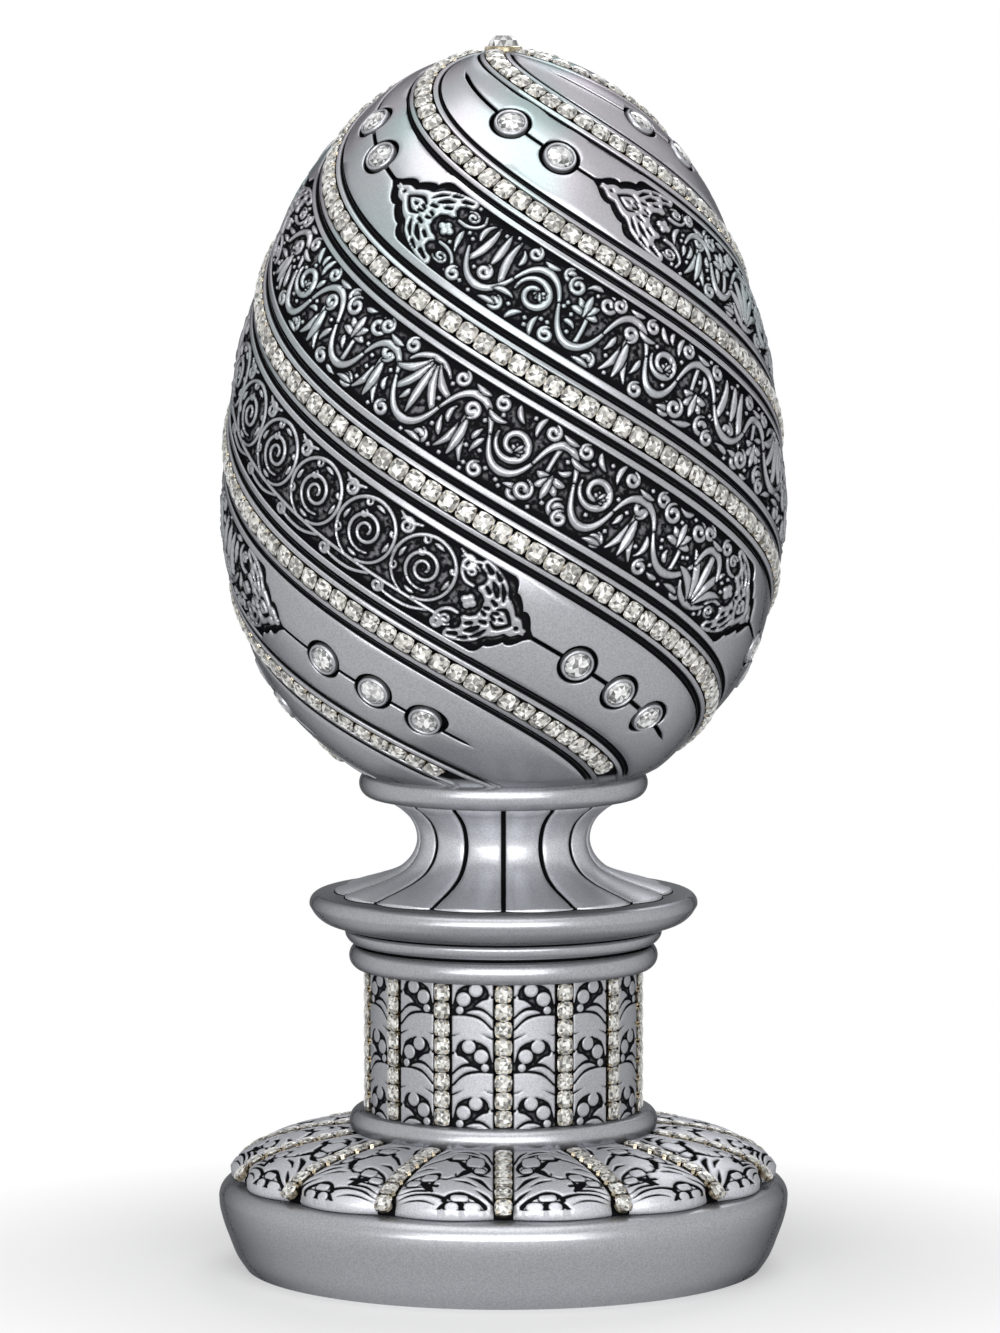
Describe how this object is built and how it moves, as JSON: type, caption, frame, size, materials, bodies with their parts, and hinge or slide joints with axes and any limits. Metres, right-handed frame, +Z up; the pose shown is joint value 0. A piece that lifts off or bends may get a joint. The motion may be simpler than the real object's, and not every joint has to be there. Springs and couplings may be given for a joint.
{
  "type": "decorative egg",
  "caption": "Decorative egg wound with spiral stone chains, seated in a petalled cup on a stepped round pedestal with a leafy drum and skirt.",
  "frame": {"origin": "middle of the plinth's underside, on the axis", "axes": "+Z up along the pedestal's and the egg's axis, -Y towards the front that the picture shows, +X to its right"},
  "size_m": [0.1064, 0.1064, 0.2291],
  "materials": {
    "silver_cast": "cast resin, satin silver paint with black antiquing in the recesses",
    "silver_plain": "cast resin, plain satin silver paint",
    "silver_carved": "cast resin, silver paint rubbed off a black ground",
    "chain_metal": "bright pale gold plating",
    "crystal": "clear cut stones with foiled backs",
    "zinc_steel": "zinc plated",
    "felt": "black felt"
  },
  "bodies": {
    "root": {"egg_shell": "silver_cast", "crown_cup": "chain_metal", "crown_stone": "crystal", "spiral_chain_1": "chain_metal", "spiral_chain_2": "chain_metal", "spiral_chain_3": "chain_metal", "spiral_chain_4": "chain_metal", "spiral_chain_5": "chain_metal", "spiral_chain_6": "chain_metal", "spiral_stones_1": "crystal", "spiral_stones_2": "crystal", "spiral_stones_3": "crystal", "spiral_stones_4": "crystal", "spiral_stones_5": "crystal", "spiral_stones_6": "crystal", "upper_bezels": "silver_plain", "upper_stones": "crystal", "lower_bezels": "silver_plain", "lower_stones": "crystal", "egg_cup": "silver_plain", "collar": "silver_plain", "upper_ring": "silver_plain", "drum": "silver_carved", "drum_chains": "chain_metal", "drum_stones": "crystal", "lower_ring": "silver_plain", "skirt": "silver_carved", "skirt_chains": "chain_metal", "skirt_stones": "crystal", "plinth": "silver_plain", "tie_rod": "zinc_steel", "tie_washer": "zinc_steel", "tie_nut": "zinc_steel", "felt_pad": "felt"}
  },
  "joints": []
}
